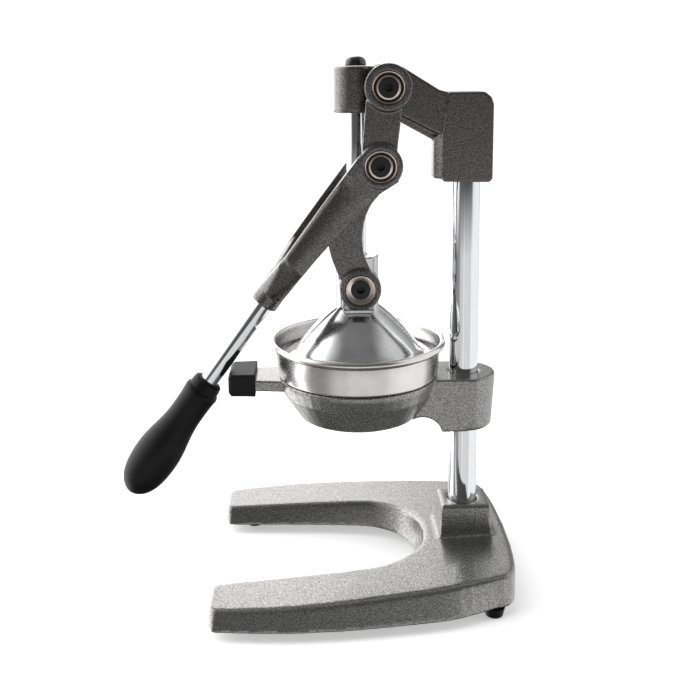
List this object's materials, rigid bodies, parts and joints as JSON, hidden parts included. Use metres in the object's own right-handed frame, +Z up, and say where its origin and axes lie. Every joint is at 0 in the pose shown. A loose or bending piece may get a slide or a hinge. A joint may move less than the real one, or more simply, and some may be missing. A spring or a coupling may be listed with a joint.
{
  "type": "citrus press juicer",
  "caption": "Lever citrus press with a U-shaped cast base, column, bowl holder with steel juice cup, toggle linkage, press cone and rubber-gripped handle.",
  "frame": {"origin": "centre of the overall footprint, on the floor under the feet, with the handle fully down", "axes": "+Z up; -Y to the front, where the base is open and the handle reaches; +Y to the column; +X to one side"},
  "size_m": [0.2378, 0.3386, 0.453],
  "materials": {
    "hammered_grey": "grey hammered enamel over a casting",
    "hammered_dark": "dark grey hammered enamel over a casting",
    "chrome": "bright chrome plate",
    "stainless": "satin stainless, bright rolled rim",
    "polished_aluminium": "polished casting",
    "bronze_ring": "bright rose-tinted metal",
    "black_screw": "black oxide",
    "black_cap": "gloss black",
    "black_rubber": "satin black"
  },
  "bodies": {
    "frame": {"base": "hammered_grey", "foot_front_left": "black_rubber", "foot_front_right": "black_rubber", "foot_back_left": "black_rubber", "foot_back_right": "black_rubber", "column": "chrome", "bowl_holder": "hammered_grey", "bumper_cap": "black_rubber", "juice_cup": "stainless", "strainer": "stainless", "reamer": "polished_aluminium", "top_bracket": "hammered_dark", "guide_bush": "bronze_ring", "bracket_screw": "black_screw", "holder_screw": "black_screw", "screw_a_left": "black_screw", "screw_a_right": "black_screw"},
    "lever": {"lever_yoke": "hammered_dark", "handle_tube": "chrome", "handle_grip": "black_rubber", "bush_a_left": "bronze_ring", "bush_a_right": "bronze_ring", "bush_b_left": "bronze_ring", "bush_b_right": "bronze_ring", "screw_b_left": "black_screw", "screw_b_right": "black_screw"},
    "plunger": {"press_cone": "polished_aluminium", "plunger_rod": "chrome", "rod_cap": "black_cap", "screw_c_left": "black_screw", "screw_c_right": "black_screw"},
    "links": {"link_left": "hammered_dark", "link_right": "hammered_dark", "bush_c_left": "bronze_ring", "bush_c_right": "bronze_ring"}
  },
  "joints": [
    {"name": "lever_pivot", "type": "hinge", "parent": "frame", "child": "lever", "pos_m": [0, 0.06343, 0.4274], "axis": [-1, 0, 0], "range_deg": [0, 90]},
    {"name": "plunger_slide", "type": "slide", "parent": "frame", "child": "plunger", "axis": [0, 0, 1], "range_m": [0, 0.0766]},
    {"name": "link_pivot", "type": "hinge", "parent": "plunger", "child": "links", "pos_m": [0, 0.04043, 0.2613], "axis": [-1, 0, 0], "range_deg": [-32, 0]}
  ],
  "couplings": [
    {"joint": "plunger_slide", "follows": "lever_pivot", "m_per_rad": 0.04867},
    {"joint": "link_pivot", "follows": "lever_pivot", "ratio": -0.35333}
  ]
}
